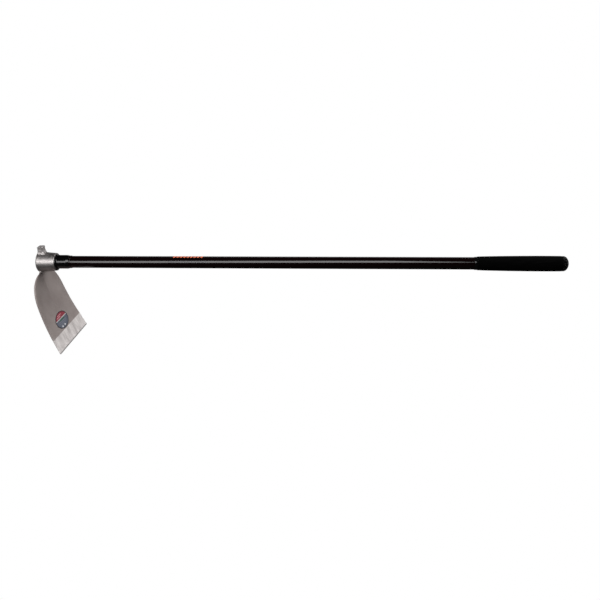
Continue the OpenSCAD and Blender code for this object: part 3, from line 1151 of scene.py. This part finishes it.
def grip(rubber, shiny):
    """Swelled rubber grip, closed by a full round end with pips on it."""
    verts, faces = lathe(grip_profile(), 288, grip_relief)
    indices = [0] * len(faces)
    for centre, out in pip_places():
        pip(centre - out * PIP_H, out, verts, faces)
    indices += [1] * (len(faces) - len(indices))
    piece = make_object("grip_body", verts, faces, 40, indices)
    finish_piece(piece, "grip_rubber", (rubber, shiny), "grip")


def marks(name, node, slot, material, x, length, low, high, count, gap, slant):
    """A row of thin slanted printed marks on the tube, between two angles above the -Y horizontal."""
    inner = TUBE_R + BOND_GAP / 2
    outer = inner + PRINT_T
    pitch = (length - slant + gap) / count
    rows = 8
    verts = []
    faces = []
    for mark in range(count):
        rings = []
        for j in range(rows + 1):
            start = x + pitch * mark + slant * j / rows
            end = start + pitch - gap
            angle = math.radians(low + (high - low) * j / rows)
            rings.append(add_ring(verts, [
                (along, -radius * math.cos(angle), radius * math.sin(angle))
                for along, radius in ((start, inner), (end, inner), (end, outer), (start, outer))
            ]))
        for ring, after in zip(rings, rings[1:]):
            faces += ring_faces(ring, after)
        faces += [rings[0], rings[-1]]
    piece = make_object(name, verts, faces, 40)
    finish_piece(piece, slot, (material,), node)


def keep_node(name, material):
    """A CAD node that stays as it is, with a finished material."""
    node = frame["nodes"][name]
    node.data.materials.clear()
    node.data.materials.append(material)
    node.data.shade_smooth()
    node.data.set_sharp_from_angle(angle=math.radians(30))


def build_tool():
    weld = weld_steel()
    black = tube_black()
    resin = plug_resin()
    boot = sleeve_black()
    orange = print_ink("print_orange", (0.62, 0.13, 0.05), (0.36, 0.06, 0.025))
    pale = print_ink("print_pale", (0.060, 0.060, 0.070), (0.03, 0.03, 0.035))
    blade(blade_steel(), ground_steel(), honed_steel())
    blade_bead(weld)
    label(label_print())
    eye(eye_steel())
    cross_pin(pin_steel())
    poll(poll_steel(), weld)
    poll_bead(weld)
    tube(black)
    sleeve(boot)
    tube_ring("boot_ring", "sleeve_ring", "tube_black", black, RING_X, RING_W, RING_R)
    grip(grip_rubber(), pip_rubber())
    tube_ring("grip_collar", "grip_ring", "sleeve_black", boot, GRIP_X, GRIP_RING_W, GRIP_RING_R)
    marks("orange_marks", "print_bar", "print_orange", orange, BAR_X, BAR_LENGTH,
          low=71, high=99, count=9, gap=0.0035, slant=0.0028)
    marks("pale_marks", "print_line", "print_pale", pale, LINE_X, LINE_LENGTH,
          low=18, high=32, count=25, gap=0.0020, slant=0.0012)
    keep_node("eye_plug", resin)
    keep_node("core_dowel", core_wood())
    keep_node("tube_end_plug", resin)


# ---- Studio ----

def set_up(name, data, place, turn):
    """A camera or light at a place, turned by a quaternion."""
    obj = bpy.data.objects.new(name, data)
    obj.location = place
    obj.rotation_mode = "QUATERNION"
    obj.rotation_quaternion = turn
    SCENE.collection.objects.link(obj)
    return obj


def camera():
    data = bpy.data.cameras.new("camera")
    data.sensor_width = 36
    data.lens = 42
    data.clip_start = 0.01
    data.clip_end = 50
    place = Vector((0.861, -1.691, 0.628))
    aim = Vector((0.696, 0, -0.105))
    roll = Quaternion((0, 0, 1), math.radians(-1.72))
    SCENE.camera = set_up("camera", data, place, (aim - place).to_track_quat("-Z", "Y") @ roll)


def area_light(name, place, turn, size_x, size_y, power):
    data = bpy.data.lights.new(name, "AREA")
    data.shape = "RECTANGLE"
    data.size = size_x
    data.size_y = size_y
    data.energy = power
    set_up(name, data, place, turn)


def softbox(name, place, aim, size_x, size_y, power):
    """Rectangular light at a place, turned to aim, with size_x level."""
    turn = (Vector(aim) - Vector(place)).to_track_quat("-Z", "Y")
    area_light(name, place, turn, size_x, size_y, power)


def strip(start, end, width, radiance):
    """Long area light between two points, facing the handle, brighter than the rest of the studio."""
    start = Vector(start)
    end = Vector(end)
    length = (end - start).length
    middle = (start + end) / 2
    along = (end - start).normalized()
    away = Vector((0, middle.y, middle.z))
    away = (away - along * away.dot(along)).normalized()
    turn = Matrix((along, away.cross(along), away)).transposed().to_quaternion()
    area_light("strip", middle, turn, length, width, radiance * math.pi * length * width)


def lights():
    strip((-0.9, -1.87, 0.43), (1.22, -1.205, 1.474), 0.92, 4.75)
    softbox("side_fill", (2.5, 0.5, 1.1), (0.1, 0, -0.1), 1.6, 1.6, 50)
    softbox("back_fill", (0.5, 2.2, 0.9), (0.6, 0, 0), 2.4, 0.8, 5)
    softbox("front_fill", (-1.9, 0.5, 0.6), (0, 0, -0.1), 1.3, 1.3, 16)


def background(n, strength):
    node = n.add("Background")
    node.inputs["Color"].default_value = (1, 1, 1, 1)
    n.put(node.inputs["Strength"], strength)
    return node.outputs["Background"]


def world():
    """White to the camera, brighter from above in diffuse light, and nearly black in reflections."""
    n = Nodes("studio", world=True)
    SCENE.world = n.made
    path = n.add("LightPath").outputs
    split = n.add("SeparateXYZ")
    n.link(n.add("TexCoord").outputs["Generated"], split.inputs[0])
    ambient = background(n, n.spread(split.outputs["Z"], -0.5, 0.6, 0.08, 0.62))
    lit = n.blend(path["Is Diffuse Ray"], background(n, 0.004), ambient)
    n.link(n.blend(path["Is Camera Ray"], lit, background(n, 1.0)), n.output.inputs["Surface"])


def floor_paper():
    """White to the camera, dark to everything else, and clear from below."""
    n = Nodes("floor_paper")
    path = n.add("LightPath")
    side = n.add("NewGeometry")
    glow = n.add("Emission")
    glow.inputs["Color"].default_value = (1, 1, 1, 1)
    dark = n.add("BsdfDiffuse")
    dark.inputs["Color"].default_value = (0.015, 0.015, 0.015, 1)
    clear = n.add("BsdfTransparent")
    above = n.blend(path.outputs["Is Camera Ray"], dark.outputs[0], glow.outputs[0])
    n.link(n.blend(side.outputs["Backfacing"], above, clear.outputs[0]), n.output.inputs["Surface"])
    return n.made


def floor():
    """Pale floor just under the cutting edge."""
    z = CAD_BOX[0].z - 0.002
    half = 6.0
    corners = [(-half, -half, z), (half, -half, z), (half, half, z), (-half, half, z)]
    mesh = bpy.data.meshes.new("floor")
    mesh.from_pydata(corners, [], [(0, 1, 2, 3)])
    mesh.materials.append(floor_paper())
    obj = bpy.data.objects.new("floor", mesh)
    SCENE.collection.objects.link(obj)


def look():
    SCENE.view_settings.view_transform = "Standard"
    SCENE.view_settings.look = "None"


build_tool()
camera()
lights()
world()
floor()
look()
